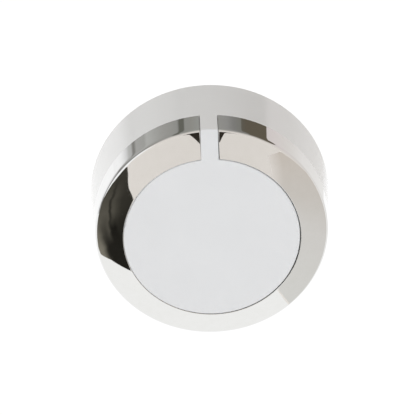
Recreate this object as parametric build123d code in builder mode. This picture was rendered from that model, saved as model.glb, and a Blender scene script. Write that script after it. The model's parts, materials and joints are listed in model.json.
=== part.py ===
from build123d import *
from math import cos, radians, sin
import os

os.makedirs("parts", exist_ok=True)

# A round pull cord switch for a ceiling. Millimetres. The ceiling is the plane Z = 0 and the
# switch hangs below it, with its narrow white bar towards -Y and its cord outlet towards +Y.

# Outer shape
ceiling_radius = 45.25  # side wall where it meets the ceiling
rim_radius = 43.0  # corner between side wall and sloping face
rim_z = -32.45
disc_radius = 32.5  # flat disc in the middle of the face
face_z = -36.1
face_crown = 0.15  # bulge of the sloping face over its straight line
bar_width = 6.3
disc_edge_round = 0.45
bar_edge_round = 0.3

# Trim ring
ring_thickness = 1.0
ring_gap = 0.25  # visible gap round the disc and the bar
fit_gap = 0.1  # hidden gap between two fitted pieces, such as ring and cover
skirt_top_z = -22.25
rim_round = 0.85
ring_inner_round = 0.4
tab_radius = 36.2
tab_width = 6.0
tab_thickness = 1.0
tab_reach = 3.6
tab_gap = 0.35
tab_count = 4

# Cover
wall = 2.2
face_wall = 2.0
lug_arc = 16.0
lug_count = 3
lug_top_z = -4.2
lug_thickness = 1.4
lug_depth = 1.4
boss_lip = 0.8  # cover plastic round and behind the flange of the cord bush
flange_clearance = 0.15

# Backplate
plate_radius = 42.8
plate_thickness = 3.0
fixing_spacing = 50.8
fixing_width = 4.5
fixing_length = 9.0
fixing_boss = 1.2
entry_length = 26.0
entry_width = 12.0
entry_y = -25.5
pad_margin = 2.5  # plastic round each fixing slot
collar_margin = 1.5  # plastic round the cable entry
rib_inset = 4.0
rib_thickness = 1.2
hook_thickness = 1.4
hook_clearance = 0.15  # between a lug of the cover and the hook it turns onto
hook_tip_gap = 0.4
hook_stem_step = 0.2

# Cord outlet
outlet_z = -14.0
outlet_bore = 2.0
outlet_barrel = 3.95
outlet_flange = 5.4
outlet_mouth = 1.3
outlet_inner_y = 39.6
outlet_seat_y = 43.6
outlet_outer_y = 45.0
outlet_boss_y = 40.6
bush_catch = 0.5  # height of the snap ring behind the cover wall
bush_edge_round = 0.5

# Mechanism housing
box_wall = 1.6
box_x = (-5.0, 12.4)
box_y = (-10.6, 18.6)
box_z = (-29.6, -plate_thickness)
lid_thickness = 1.6
cord_slot = 4.8
cord_slot_y = -4.7
cord_slot_z = -17.0
boss_places = ((-6.8, -26.7), (15.1, -6.6))
boss_radius = 1.7
boss_pilot = 0.9  # radius of the hole that a lid screw cuts its thread in
lid_boss = 2.8
lid_hole = 1.2
lid_corner = 1.2
pocket_radius = 2.5
pocket_bore = 1.95
pocket_depth = 1.4
side_gap = 0.15  # between the sides of neighbouring pieces
press_gap = 0.02  # in a hole that holds its pin still

# Drive
axle_y = 6.0
axle_z = -16.5
axle_radius = 1.5
axle_seat = 1.2  # depth of the blind hole for the axle in the closed wall
axle_end_gap = 0.1
lid_skin = 0.6  # lid plastic left over the other end of the axle
axle_chamfer = 0.3
running_gap = 0.06
arm_half = 1.5
arm_hub = 3.2
eye_angle = -125.0  # leg that the cord is tied to
eye_reach = 13.5
eye_boss = 2.3
eye_hole = 1.1
crank_angle = -20.0  # leg that the return spring presses on
crank_reach = 5.8
crank_boss = 1.7
pawl_angle = 100.0  # leg that carries the pawl
pawl_reach = 8.8
pawl_boss = 1.6
pawl_thin = 1.4  # from the pawl's pivot to its back
beak_gap = 1.2  # degrees between the pawl's beak and the tooth
beak_width = 4.5
beak_foot = 5.65  # nearest the pawl comes to the axle
beak_face = (5.75, 6.9)
pawl_belly = (122.0, 7.25)  # angle and reach of the bend on its inner side
pawl_back = (135.0, 8.3)
teeth = 8
tooth_tip = 7.0
tooth_root = 5.3
tooth_face_angle = 150.0
wheel_x = (2.1, 5.1)
cam_x = (6.8, 10.0)
cam_side = 8.9
cam_round = 1.5
key_side = 4.6
key_depth = 1.6
slip_gap = 0.05
small_pin = 0.8
pin_head = 1.4
pin_head_height = 0.6
pin_end_x = 6.5

# Springs
spring_wire = 0.5
spring_radius = 1.55
spring_turns = 7
spring_foot_gap = 0.5
light_wire = 0.3
light_pitch = 1.25  # turns of the two light springs, in wire thicknesses
pawl_coil = 1.2
pawl_leg = (200, 2.2)  # angle and length of the spring's straight leg
rocker_coil = 1.15
rocker_leg = (215, 3.0)

# Contacts
pivot_y = -2.2
pivot_z = -7.5
rocker_x = (7.2, 9.6)
rocker_y = (-3.3, -1.1)
rocker_hub = 1.6
rocker_foot = 1.6  # how far the rocker reaches below its contact tip
nose_radius = 1.0
nose_gap = 0.2
contact_x = 8.4
line_x = 1.4
strip_width = 4.0
strip_thickness = 0.6
strip_gap = 0.2  # between the brass strips and the wall behind them
strip_foot = 1.8
tip_radius = 1.3
tip_height = 1.0
fixed_tip_height = 0.6
tip_z = -22.6
tip_step = 0.4  # the fixed tip sits this much higher than the moving one
tail_z = -10.6
leaf_thickness = 0.4
leaf_inset = 0.2
leaf_top = 2.2
fork_gap = 0.7  # beside the rocker, out to the outer face of each fork cheek
fork_y = (-3.8, -0.6)
fork_drop = 1.5
bridge_width = 2.2
rocker_pin_end = 0.5

# Terminals and screws
block_size = (5.6, 7.0, 8.0)
block_gap = 0.15
block_back = 1.6  # brass left behind the blind wire hole
wire_radius = 1.6
wire_depth = 3.0  # from the top of a block to its wire hole
clamp_radius = 1.75
clamp_head = 2.3
clamp_head_height = 1.6
clamp_length = 3.2
shelf_z = -6.5
shelf_thickness = 1.5
shelf_lip = 0.8
shelf_rib = 1.15
rib_drop = 1.0
earth_place = (-16.2, -12.5)
housing_screw_places = ((-8.6, 4.0), (6.0, 21.8))
lug_plate = 3.0
lug_radius = 3.2
screw_shank = 1.45
screw_hole = 1.5
screw_head = 2.7
screw_head_height = 1.8
screw_skin = 0.8  # plastic left over each housing screw, on the ceiling side
screw_end_gap = 0.1
screw_slot = 0.7
lid_screw_head = 2.1
lid_screw_height = 1.4
lid_screw_shank = 0.85
lid_screw_end_x = 2.0
lid_screw_slot = 0.6

wall_slope = (ceiling_radius - rim_radius) / -rim_z
face_slope = (rim_z - face_z) / (rim_radius - disc_radius)


def wall_radius(z):
    """Outer radius of the tapered side wall at height z."""
    return ceiling_radius + wall_slope * z


def slope_z(radius):
    """Height of the sloping face's straight line at a radius."""
    return face_z + (radius - disc_radius) * face_slope


def upright(angle):
    """Vertical plane through the axis of the switch, local x outwards and local y up."""
    outwards = (cos(radians(angle)), sin(radians(angle)), 0)
    normal = (sin(radians(angle)), -cos(radians(angle)), 0)
    return Plane(origin=(0, 0, 0), x_dir=outwards, z_dir=normal)


def block(low, high, mode=Mode.ADD):
    """Box between two opposite corners."""
    centre = tuple((a + b) / 2 for a, b in zip(low, high))
    size = tuple(b - a for a, b in zip(low, high))
    with Locations(centre):
        Box(*size, mode=mode)


def rod(y, z, radius, x_low, x_high, mode=Mode.ADD):
    """Round bar along X."""
    with Locations(Location(((x_low + x_high) / 2, y, z), (0, 90, 0))):
        Cylinder(radius, x_high - x_low, mode=mode)


def around_axle(angle, reach):
    """Point in the YZ plane at an angle and a distance from the axle."""
    return (axle_y + reach * cos(radians(angle)), axle_z + reach * sin(radians(angle)))


def finish(piece, name):
    """Label a piece and write it."""
    piece.part.label = name
    export_step(piece.part, f"parts/{name}.step")


# ---------------------------------------------------------------- cover

rim_point = (rim_radius, rim_z)
disc_point = (disc_radius, face_z)
crown_length = ((rim_radius - disc_radius) ** 2 + (rim_z - face_z) ** 2) ** 0.5
crown_point = (
    (rim_radius + disc_radius) / 2 + face_crown * (rim_z - face_z) / crown_length,
    (rim_z + face_z) / 2 - face_crown * (rim_radius - disc_radius) / crown_length,
)
seat = ring_thickness + fit_gap
seat_top_z = skirt_top_z + fit_gap
bar_root = disc_radius - 2 * disc_edge_round

with BuildPart() as bar:
    with BuildSketch(upright(-90)):
        with BuildLine():
            Line((wall_radius(seat_top_z), seat_top_z), rim_point)
            ThreePointArc(rim_point, crown_point, disc_point)
            Polyline(
                disc_point,
                (bar_root, face_z),
                (bar_root, face_z + seat + face_wall / 2),
                (rim_radius - seat - wall / 2, rim_z + seat + face_wall / 2),
                (wall_radius(seat_top_z) - seat - wall / 2, seat_top_z),
                (wall_radius(seat_top_z), seat_top_z),
            )
        make_face()
    revolve(axis=Axis.Z)
    with BuildSketch(Plane.XY.offset(face_z)):
        with Locations((0, -rim_radius)):
            Rectangle(bar_width, rim_radius)
    extrude(amount=-face_z, mode=Mode.INTERSECT)
    crowned_face = bar.faces().filter_by(GeomType.PLANE, reverse=True).sort_by(Axis.Z)[0]
    side_edges = crowned_face.edges().sort_by(Axis.X)
    fillet([side_edges[0], side_edges[-1]], radius=bar_edge_round)

with BuildPart() as cover:
    with BuildSketch(upright(0)):
        with BuildLine():
            Polyline(
                (0, 0),
                (ceiling_radius, 0),
                (wall_radius(seat_top_z), seat_top_z),
                (wall_radius(seat_top_z) - seat, seat_top_z),
                (rim_radius - seat, rim_z + seat),
                (disc_radius, slope_z(disc_radius) + seat),
                disc_point,
                (0, face_z),
                close=True,
            )
        make_face()
    revolve(axis=Axis.Z)
    fillet(cover.edges().group_by(Axis.Z)[0], radius=disc_edge_round)
    add(bar.part)
    shoulder_end = rim_radius - seat - face_wall
    with BuildSketch(upright(0)):
        with BuildLine():
            Polyline(
                (0, 0),
                (ceiling_radius - wall, 0),
                (wall_radius(seat_top_z) - wall, seat_top_z + wall),
                (wall_radius(seat_top_z) - seat - face_wall, seat_top_z + wall / 2),
                (shoulder_end, slope_z(shoulder_end) + seat + face_wall),
                (disc_radius - face_wall, slope_z(disc_radius - face_wall) + seat + face_wall),
                (disc_radius - face_wall, face_z + face_wall),
                (0, face_z + face_wall),
                close=True,
            )
        make_face()
    revolve(axis=Axis.Z, mode=Mode.SUBTRACT)
    for index in range(lug_count):
        with BuildSketch(upright(90 + index * 360 / lug_count)):
            lug_root = wall_radius(lug_top_z) - wall / 2
            lug_tip = wall_radius(lug_top_z) - wall - lug_depth
            with Locations(((lug_root + lug_tip) / 2, lug_top_z - lug_thickness / 2)):
                Rectangle(lug_root - lug_tip, lug_thickness)
        revolve(axis=Axis.Z, revolution_arc=lug_arc)
    with Locations((0, 0, slope_z(tab_radius))):
        with PolarLocations(tab_radius, tab_count, start_angle=45):
            Box(
                tab_thickness + 2 * tab_gap,
                tab_width + 2 * tab_gap,
                4 * face_wall,
                mode=Mode.SUBTRACT,
            )
    # Boss, hole and flat seat for the cord bush
    with BuildSketch(Plane.XZ.offset(-outlet_boss_y)):
        with Locations((0, outlet_z)):
            Circle(outlet_flange + boss_lip)
    extrude(amount=-(outlet_seat_y - outlet_boss_y - boss_lip))
    with BuildSketch(Plane.XZ.offset(-outlet_inner_y)):
        with Locations((0, outlet_z)):
            Circle(outlet_barrel + fit_gap / 2)
    extrude(amount=-(ceiling_radius - outlet_inner_y), mode=Mode.SUBTRACT)
    with BuildSketch(Plane.XZ.offset(-outlet_seat_y)):
        with Locations((0, outlet_z)):
            Circle(outlet_flange + flange_clearance)
    extrude(amount=-(ceiling_radius - outlet_seat_y), mode=Mode.SUBTRACT)

# ---------------------------------------------------------------- trim ring

with BuildPart() as trim_ring:
    inner_radius = disc_radius + ring_gap
    with BuildSketch(upright(0)) as ring_profile:
        with BuildLine():
            Line((wall_radius(skirt_top_z), skirt_top_z), rim_point)
            ThreePointArc(rim_point, crown_point, (inner_radius, slope_z(inner_radius)))
            Polyline(
                (inner_radius, slope_z(inner_radius)),
                (inner_radius, slope_z(inner_radius) + ring_thickness),
                (rim_radius - ring_thickness, rim_z + ring_thickness),
                (wall_radius(skirt_top_z) - ring_thickness, skirt_top_z),
                (wall_radius(skirt_top_z), skirt_top_z),
            )
        make_face()
        fillet(ring_profile.vertices().sort_by_distance(rim_point)[0], radius=rim_round)
        fillet(
            ring_profile.vertices().sort_by_distance((inner_radius, slope_z(inner_radius)))[0],
            radius=ring_inner_round,
        )
    revolve(axis=Axis.Z)
    slot_half = bar_width / 2 + ring_gap
    block((-slot_half, -ceiling_radius, face_z), (slot_half, 0, 0), Mode.SUBTRACT)
    # Snap tabs that pass through the cover and hook behind it
    tab_foot_z = slope_z(tab_radius) + ring_thickness / 2
    hook_z = slope_z(tab_radius) + seat + face_wall + fit_gap + face_slope
    with Locations((0, 0, tab_foot_z)):
        with PolarLocations(tab_radius, tab_count, start_angle=45):
            Box(
                tab_thickness,
                tab_width,
                hook_z + tab_thickness - tab_foot_z,
                align=(Align.CENTER, Align.CENTER, Align.MIN),
            )
    with Locations((0, 0, hook_z)):
        with PolarLocations(tab_radius - tab_thickness / 2, tab_count, start_angle=45):
            Box(2 * tab_thickness, tab_width, tab_thickness, align=(Align.CENTER, Align.CENTER, Align.MIN))

# ---------------------------------------------------------------- backplate

with BuildPart() as backplate:
    with BuildSketch(Plane.XY):
        Circle(plate_radius)
    extrude(amount=-plate_thickness)
    # Raised pads round the two fixing slots
    with BuildSketch(Plane.XY.offset(-plate_thickness)):
        with Locations((-fixing_spacing / 2, 0), (fixing_spacing / 2, 0)):
            SlotOverall(fixing_length + 2 * pad_margin, fixing_width + 2 * pad_margin)
    extrude(amount=-fixing_boss)
    # Stiffening rib
    with BuildSketch(Plane.XY.offset(-plate_thickness)):
        Circle(plate_radius - rib_inset)
        Circle(plate_radius - rib_inset - rib_thickness, mode=Mode.SUBTRACT)
    extrude(amount=-fixing_boss)
    # Collar round the cable entry
    with BuildSketch(Plane.XY.offset(-plate_thickness)):
        with Locations((0, entry_y)):
            SlotOverall(entry_length + 2 * collar_margin, entry_width + 2 * collar_margin)
    extrude(amount=-fixing_boss)
    # Hooks that the lugs of the cover turn onto
    hook_tip = wall_radius(lug_top_z) - wall - hook_tip_gap
    hook_root = hook_tip - lug_depth - hook_thickness
    hook_stem = hook_root + hook_thickness - hook_stem_step
    ledge_z = lug_top_z - lug_thickness - hook_clearance
    for index in range(lug_count):
        with BuildSketch(upright(90 + index * 360 / lug_count)):
            with BuildLine():
                Polyline(
                    (hook_root, -plate_thickness),
                    (hook_stem, -plate_thickness),
                    (hook_stem, ledge_z),
                    (hook_tip, ledge_z),
                    (hook_tip, ledge_z - hook_thickness),
                    (hook_root, ledge_z - hook_thickness),
                    close=True,
                )
            make_face()
        revolve(axis=Axis.Z, revolution_arc=lug_arc)
    with BuildSketch(Plane.XY):
        with Locations((-fixing_spacing / 2, 0), (fixing_spacing / 2, 0)):
            SlotOverall(fixing_length, fixing_width)
        with Locations((0, entry_y)):
            SlotOverall(entry_length, entry_width)
    extrude(amount=-2 * plate_thickness, mode=Mode.SUBTRACT)
    # Blind holes for the housing screws
    with Locations(*[(x, y, -screw_skin) for x, y in housing_screw_places]):
        Cylinder(
            screw_hole,
            plate_thickness - screw_skin,
            align=(Align.CENTER, Align.CENTER, Align.MAX),
            mode=Mode.SUBTRACT,
        )


# ---------------------------------------------------------------- cord bush

with BuildPart() as cord_bush:
    with BuildSketch(Plane.YZ) as bush_profile:
        with BuildLine():
            Polyline(
                (outlet_inner_y, outlet_z + outlet_bore),
                (outlet_inner_y, outlet_z + outlet_barrel + bush_catch),
                (outlet_boss_y - fit_gap, outlet_z + outlet_barrel + bush_catch),
                (outlet_boss_y - fit_gap, outlet_z + outlet_barrel),
                (outlet_seat_y, outlet_z + outlet_barrel),
                (outlet_seat_y, outlet_z + outlet_flange),
                (outlet_outer_y, outlet_z + outlet_flange),
                (outlet_outer_y, outlet_z + outlet_bore),
                close=True,
            )
        make_face()
        mouths = bush_profile.vertices().group_by(Axis.Y)[0]
        fillet(mouths, radius=outlet_mouth)
        flange_corner = (outlet_outer_y, outlet_z + outlet_flange)
        fillet(bush_profile.vertices().sort_by_distance(flange_corner)[0], radius=bush_edge_round)
    revolve(axis=Axis((0, 0, outlet_z), (0, 1, 0)))

# ---------------------------------------------------------------- mechanism housing and lid

lid_x = (box_x[1], box_x[1] + lid_thickness)
block_room = block_size[0] / 2 + block_gap
shelf_x = (line_x - block_room - shelf_rib, contact_x + block_room + shelf_rib)
shelf_y = (box_y[0] - block_size[1] - shelf_lip, box_y[0])
rib_x = (
    (shelf_x[0], line_x - block_room),
    (line_x + block_room, contact_x - block_room),
    (contact_x + block_room, shelf_x[1]),
)

axle_seat_x = (box_x[0] + box_wall - axle_seat, box_x[0] + box_wall)
spring_place = around_axle(crank_angle, crank_reach)

with BuildPart() as mech_housing:
    block((box_x[0], box_y[0], box_z[0]), (box_x[1], box_y[1], box_z[1]))
    block(
        (box_x[0] + box_wall, box_y[0] + box_wall, box_z[0] + box_wall),
        (box_x[1], box_y[1] - box_wall, box_z[1] - box_wall),
        Mode.SUBTRACT,
    )
    # Slot that the arm swings in and the cord leaves through
    block(
        (-cord_slot / 2, cord_slot_y, box_z[0]),
        (cord_slot / 2, box_y[1], box_z[0] + box_wall),
        Mode.SUBTRACT,
    )
    block(
        (-cord_slot / 2, box_y[1] - box_wall, box_z[0]),
        (cord_slot / 2, box_y[1], cord_slot_z),
        Mode.SUBTRACT,
    )
    for y, z in boss_places:
        rod(y, z, boss_radius, box_x[0] + box_wall, box_x[1])
        rod(y, z, boss_pilot, 0, box_x[1], Mode.SUBTRACT)
    # Axle seat in the closed wall
    rod(axle_y, axle_z, axle_radius + press_gap, *axle_seat_x, Mode.SUBTRACT)
    # Pocket that centres the return spring on the roof
    with BuildSketch(Plane.XY.offset(box_z[1] - box_wall)):
        with Locations((0, spring_place[0])):
            Circle(pocket_radius)
            Circle(pocket_bore, mode=Mode.SUBTRACT)
    extrude(amount=-pocket_depth)
    # Shelf and ribs round the two mains terminals
    block((shelf_x[0], shelf_y[0], shelf_z), (shelf_x[1], shelf_y[1], shelf_z + shelf_thickness))
    for x_low, x_high in rib_x:
        block((x_low, shelf_y[0], shelf_z - block_size[2] - rib_drop), (x_high, shelf_y[1], shelf_z))
    # Windows for the tails of the two brass strips
    for x in (line_x, contact_x):
        block(
            (x - strip_width / 2, box_y[0], tail_z),
            (x + strip_width / 2, box_y[0] + box_wall, tail_z + strip_thickness),
            Mode.SUBTRACT,
        )
    # Lugs for the housing screws
    for x, y in housing_screw_places:
        with BuildSketch(Plane.XY.offset(box_z[1])):
            with Locations((x, y)):
                Circle(lug_radius)
        extrude(amount=-lug_plate)
    (side_x, side_y), (end_x, end_y) = housing_screw_places
    block((side_x, side_y - lug_radius, box_z[1] - lug_plate), (box_x[0], side_y + lug_radius, box_z[1]))
    block((end_x - lug_radius, box_y[1], box_z[1] - lug_plate), (end_x + lug_radius, end_y, box_z[1]))
    with Locations(*[(x, y, box_z[1] - lug_plate / 2) for x, y in housing_screw_places]):
        Cylinder(screw_hole, lug_plate, mode=Mode.SUBTRACT)

with BuildPart() as mech_lid:
    block((lid_x[0], box_y[0], box_z[0]), (lid_x[1], box_y[1], box_z[1]))
    rod(axle_y, axle_z, lid_boss, cam_x[1] + side_gap, lid_x[0])
    rod(axle_y, axle_z, axle_radius + press_gap, cam_x[1], lid_x[1] - lid_skin, Mode.SUBTRACT)
    for y, z in boss_places:
        rod(y, z, lid_hole, lid_x[0], lid_x[1], Mode.SUBTRACT)
    fillet(mech_lid.edges().filter_by(Axis.X).group_by(Axis.Z)[0], radius=lid_corner)
    fillet(mech_lid.edges().filter_by(Axis.X).group_by(Axis.Z)[-1], radius=lid_corner)

# ---------------------------------------------------------------- drive

with BuildPart() as axle:
    rod(axle_y, axle_z, axle_radius, axle_seat_x[0] + axle_end_gap, lid_x[1] - lid_skin - axle_end_gap)
    chamfer(axle.edges().filter_by(GeomType.CIRCLE), length=axle_chamfer)

arm_legs = (
    (eye_angle, eye_reach, eye_boss),
    (crank_angle, crank_reach, crank_boss),
    (pawl_angle, pawl_reach, pawl_boss),
)

with BuildPart() as pull_arm:
    for angle, reach, tip in arm_legs:
        with BuildSketch(Plane.YZ.offset(-arm_half)):
            with Locations((axle_y, axle_z)):
                Circle(arm_hub)
            with Locations(around_axle(angle, reach)):
                Circle(tip)
            make_hull()
        extrude(amount=2 * arm_half)
    rod(axle_y, axle_z, arm_hub, box_x[0] + box_wall + side_gap, wheel_x[0] - side_gap)
    rod(axle_y, axle_z, axle_radius + running_gap, box_x[0], wheel_x[0], Mode.SUBTRACT)
    rod(*around_axle(eye_angle, eye_reach), eye_hole, -arm_half, arm_half, Mode.SUBTRACT)
    rod(*around_axle(pawl_angle, pawl_reach), small_pin + press_gap, -arm_half, arm_half, Mode.SUBTRACT)

with BuildPart() as ratchet_wheel:
    tooth_points = []
    for tooth in range(teeth):
        face_angle = tooth_face_angle + tooth * 360 / teeth
        tooth_points.append(around_axle(face_angle, tooth_root))
        tooth_points.append(around_axle(face_angle, tooth_tip))
    with BuildSketch(Plane.YZ.offset(wheel_x[0])):
        with BuildLine():
            Polyline(*tooth_points, close=True)
        make_face()
    extrude(amount=wheel_x[1] - wheel_x[0])
    rod(axle_y, axle_z, arm_hub, wheel_x[1], cam_x[0])
    with BuildSketch(Plane.YZ.offset(cam_x[0])):
        with Locations((axle_y, axle_z)):
            Rectangle(key_side, key_side)
    extrude(amount=key_depth)
    rod(axle_y, axle_z, axle_radius + running_gap, wheel_x[0], cam_x[1], Mode.SUBTRACT)

with BuildPart() as cam:
    with BuildSketch(Plane.YZ.offset(cam_x[0])):
        with Locations((axle_y, axle_z)):
            RectangleRounded(cam_side, cam_side, cam_round)
    extrude(amount=cam_x[1] - cam_x[0])
    with BuildSketch(Plane.YZ.offset(cam_x[0])):
        with Locations((axle_y, axle_z)):
            Rectangle(key_side + 2 * slip_gap, key_side + 2 * slip_gap)
    extrude(amount=key_depth + slip_gap, mode=Mode.SUBTRACT)
    rod(axle_y, axle_z, axle_radius + running_gap, cam_x[0], cam_x[1], Mode.SUBTRACT)

pawl_x = (wheel_x[0] + fit_gap, wheel_x[1] - fit_gap)
pawl_place = around_axle(pawl_angle, pawl_reach)
beak_angle = tooth_face_angle - beak_gap

with BuildPart() as pawl:
    with BuildSketch(Plane.YZ.offset(pawl_x[0])):
        with Locations(pawl_place):
            Circle(pawl_boss)
        with BuildLine():
            Polyline(
                around_axle(pawl_angle, pawl_reach - pawl_thin),
                around_axle(*pawl_belly),
                around_axle(tooth_face_angle - beak_width, beak_foot),
                around_axle(beak_angle, beak_face[0]),
                around_axle(beak_angle, beak_face[1]),
                around_axle(*pawl_back),
                around_axle(pawl_angle, pawl_reach + pawl_thin),
                close=True,
            )
        make_face()
    extrude(amount=pawl_x[1] - pawl_x[0])
    rod(*pawl_place, small_pin + running_gap, *pawl_x, Mode.SUBTRACT)

with BuildPart() as pawl_pin:
    rod(*pawl_place, small_pin, -arm_half - pin_head_height, pin_end_x)
    rod(*pawl_place, pin_head, -arm_half - pin_head_height, -arm_half)


def torsion_spring(y, z, coil_radius, x_low, turns, leg_angle, leg_length):
    """Light coil round a pin along X, with one straight leg across its open end."""
    pitch = light_wire * light_pitch
    height = pitch * turns
    with BuildPart() as spring:
        with BuildLine() as path:
            Helix(pitch=pitch, height=height, radius=coil_radius, center=(x_low, y, z), direction=(1, 0, 0))
        with BuildSketch(path.line ^ 0):
            Circle(light_wire / 2)
        sweep(is_frenet=True)
        end = path.line @ 1
        leg_direction = (0, cos(radians(leg_angle)), sin(radians(leg_angle)))
        with BuildSketch(Plane(origin=end, z_dir=leg_direction)):
            Circle(light_wire / 2)
        extrude(amount=leg_length)
    return spring


pawl_spring = torsion_spring(*pawl_place, pawl_coil, wheel_x[1] + fit_gap, 3, *pawl_leg)

# ---------------------------------------------------------------- return spring

spring_top_z = box_z[1] - box_wall - spring_wire / 2
spring_foot_z = spring_place[1] + crank_boss + spring_wire / 2 + spring_foot_gap

with BuildPart() as return_spring:
    spring_height = spring_top_z - spring_foot_z - press_gap
    with BuildLine() as spring_path:
        Helix(
            pitch=spring_height / spring_turns,
            height=spring_height,
            radius=spring_radius,
            center=(0, spring_place[0], spring_foot_z),
        )
    with BuildSketch(spring_path.line ^ 0):
        Circle(spring_wire / 2)
    sweep(is_frenet=True)

# ---------------------------------------------------------------- rocker and contacts

nose_y = axle_y - cam_side / 2 - nose_gap - nose_radius
rocker_foot_z = tip_z - rocker_foot

with BuildPart() as rocker:
    block((rocker_x[0], rocker_y[0], rocker_foot_z), (rocker_x[1], rocker_y[1], pivot_z))
    rod(pivot_y, pivot_z, rocker_hub, *rocker_x)
    block(
        (rocker_x[0], rocker_y[1], axle_z - nose_radius),
        (rocker_x[1], nose_y, axle_z + nose_radius),
    )
    rod(nose_y, axle_z, nose_radius, *rocker_x)
    rod(pivot_y, pivot_z, small_pin + running_gap, *rocker_x, Mode.SUBTRACT)

bracket_x = (rocker_x[0] - fork_gap, rocker_x[1] + fork_gap)
bracket_top = box_z[1] - box_wall
strip_back = box_y[0] + box_wall + strip_gap
strip_y = (strip_back, strip_back + strip_thickness)

with BuildPart() as line_bracket:
    block(
        (line_x - strip_width / 2, strip_y[0], bracket_top - strip_thickness),
        (bracket_x[1], strip_y[0] + bridge_width, bracket_top),
    )
    block((bracket_x[0], strip_y[0], bracket_top - strip_thickness), (bracket_x[1], fork_y[1], bracket_top))
    for x_low in (bracket_x[0], bracket_x[1] - strip_thickness):
        block((x_low, fork_y[0], pivot_z - fork_drop), (x_low + strip_thickness, fork_y[1], bracket_top))
    block(
        (line_x - strip_width / 2, strip_y[0], tail_z),
        (line_x + strip_width / 2, strip_y[1], bracket_top),
    )
    block(
        (line_x - strip_width / 2, box_y[0], tail_z),
        (line_x + strip_width / 2, strip_y[1], tail_z + strip_thickness),
    )
    rod(pivot_y, pivot_z, small_pin + press_gap, *bracket_x, Mode.SUBTRACT)

with BuildPart() as rocker_pin:
    rod(pivot_y, pivot_z, small_pin, bracket_x[0] - rocker_pin_end, bracket_x[1] + rocker_pin_end)

rocker_spring = torsion_spring(pivot_y, pivot_z, rocker_coil, bracket_x[1] + strip_gap, 2, *rocker_leg)

leaf_y = rocker_y[0] - leaf_thickness

with BuildPart() as moving_contact:
    block(
        (rocker_x[0] + leaf_inset, leaf_y, rocker_foot_z + leaf_inset / 2),
        (rocker_x[1] - leaf_inset, rocker_y[0], pivot_z - leaf_top),
    )

with BuildPart() as moving_tip:
    with BuildSketch(Plane.XZ.offset(-leaf_y)):
        with Locations((contact_x, tip_z)):
            Circle(tip_radius)
    extrude(amount=tip_height)

with BuildPart() as fixed_contact:
    block(
        (contact_x - strip_width / 2, strip_y[0], tip_z - strip_foot),
        (contact_x + strip_width / 2, strip_y[1], tail_z + strip_thickness),
    )
    block(
        (contact_x - strip_width / 2, box_y[0], tail_z),
        (contact_x + strip_width / 2, strip_y[1], tail_z + strip_thickness),
    )

with BuildPart() as fixed_tip:
    with BuildSketch(Plane.XZ.offset(-strip_y[1])):
        with Locations((contact_x, tip_z + tip_step)):
            Circle(tip_radius)
    extrude(amount=-fixed_tip_height)

# ---------------------------------------------------------------- terminals


def terminal(x, y_low, z_top):
    """Brass block with a blind wire hole from the front and a clamping screw hole from below."""
    width, depth, height = block_size
    with BuildPart() as body:
        block((x - width / 2, y_low, z_top - height), (x + width / 2, y_low + depth, z_top))
        with BuildSketch(Plane.XZ.offset(-y_low)):
            with Locations((x, z_top - wire_depth)):
                Circle(wire_radius)
        extrude(amount=-(depth - block_back), mode=Mode.SUBTRACT)
        with BuildSketch(Plane.XY.offset(z_top - height)):
            with Locations((x, y_low + depth / 2)):
                Circle(clamp_radius)
        extrude(amount=height - wire_depth, mode=Mode.SUBTRACT)
    return body


line_terminal = terminal(line_x, box_y[0] - block_size[1], shelf_z)
load_terminal = terminal(contact_x, box_y[0] - block_size[1], shelf_z)
earth_terminal = terminal(earth_place[0], earth_place[1] - block_size[1] / 2, -plate_thickness)


def screws_from_below(places, head, head_height, shank, shank_length):
    """Slotted screws with their heads down, one at each place under the head."""
    with BuildPart() as group:
        with Locations(*places):
            Cylinder(head, head_height, align=(Align.CENTER, Align.CENTER, Align.MAX))
            Cylinder(shank, shank_length, align=(Align.CENTER, Align.CENTER, Align.MIN))
        with Locations(*[(x, y, z - head_height) for x, y, z in places]):
            Box(2 * head, screw_slot, head_height, mode=Mode.SUBTRACT)
    return group


terminal_y = box_y[0] - block_size[1] / 2
terminal_screws = screws_from_below(
    (
        (line_x, terminal_y, shelf_z - block_size[2]),
        (contact_x, terminal_y, shelf_z - block_size[2]),
        (*earth_place, -plate_thickness - block_size[2]),
    ),
    head=clamp_head,
    head_height=clamp_head_height,
    shank=clamp_radius - slip_gap,
    shank_length=clamp_length,
)
housing_screws = screws_from_below(
    [(x, y, box_z[1] - lug_plate) for x, y in housing_screw_places],
    head=screw_head,
    head_height=screw_head_height,
    shank=screw_shank,
    shank_length=lug_plate + plate_thickness - screw_skin - screw_end_gap,
)

with BuildPart() as lid_screws:
    for y, z in boss_places:
        head_x = lid_x[1] + lid_screw_height
        rod(y, z, lid_screw_head, lid_x[1], head_x)
        rod(y, z, lid_screw_shank, lid_screw_end_x, lid_x[1])
        block(
            (head_x - lid_screw_slot, y - lid_screw_slot / 2, z - lid_screw_head),
            (head_x, y + lid_screw_slot / 2, z + lid_screw_head),
            Mode.SUBTRACT,
        )

# ---------------------------------------------------------------- output

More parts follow.
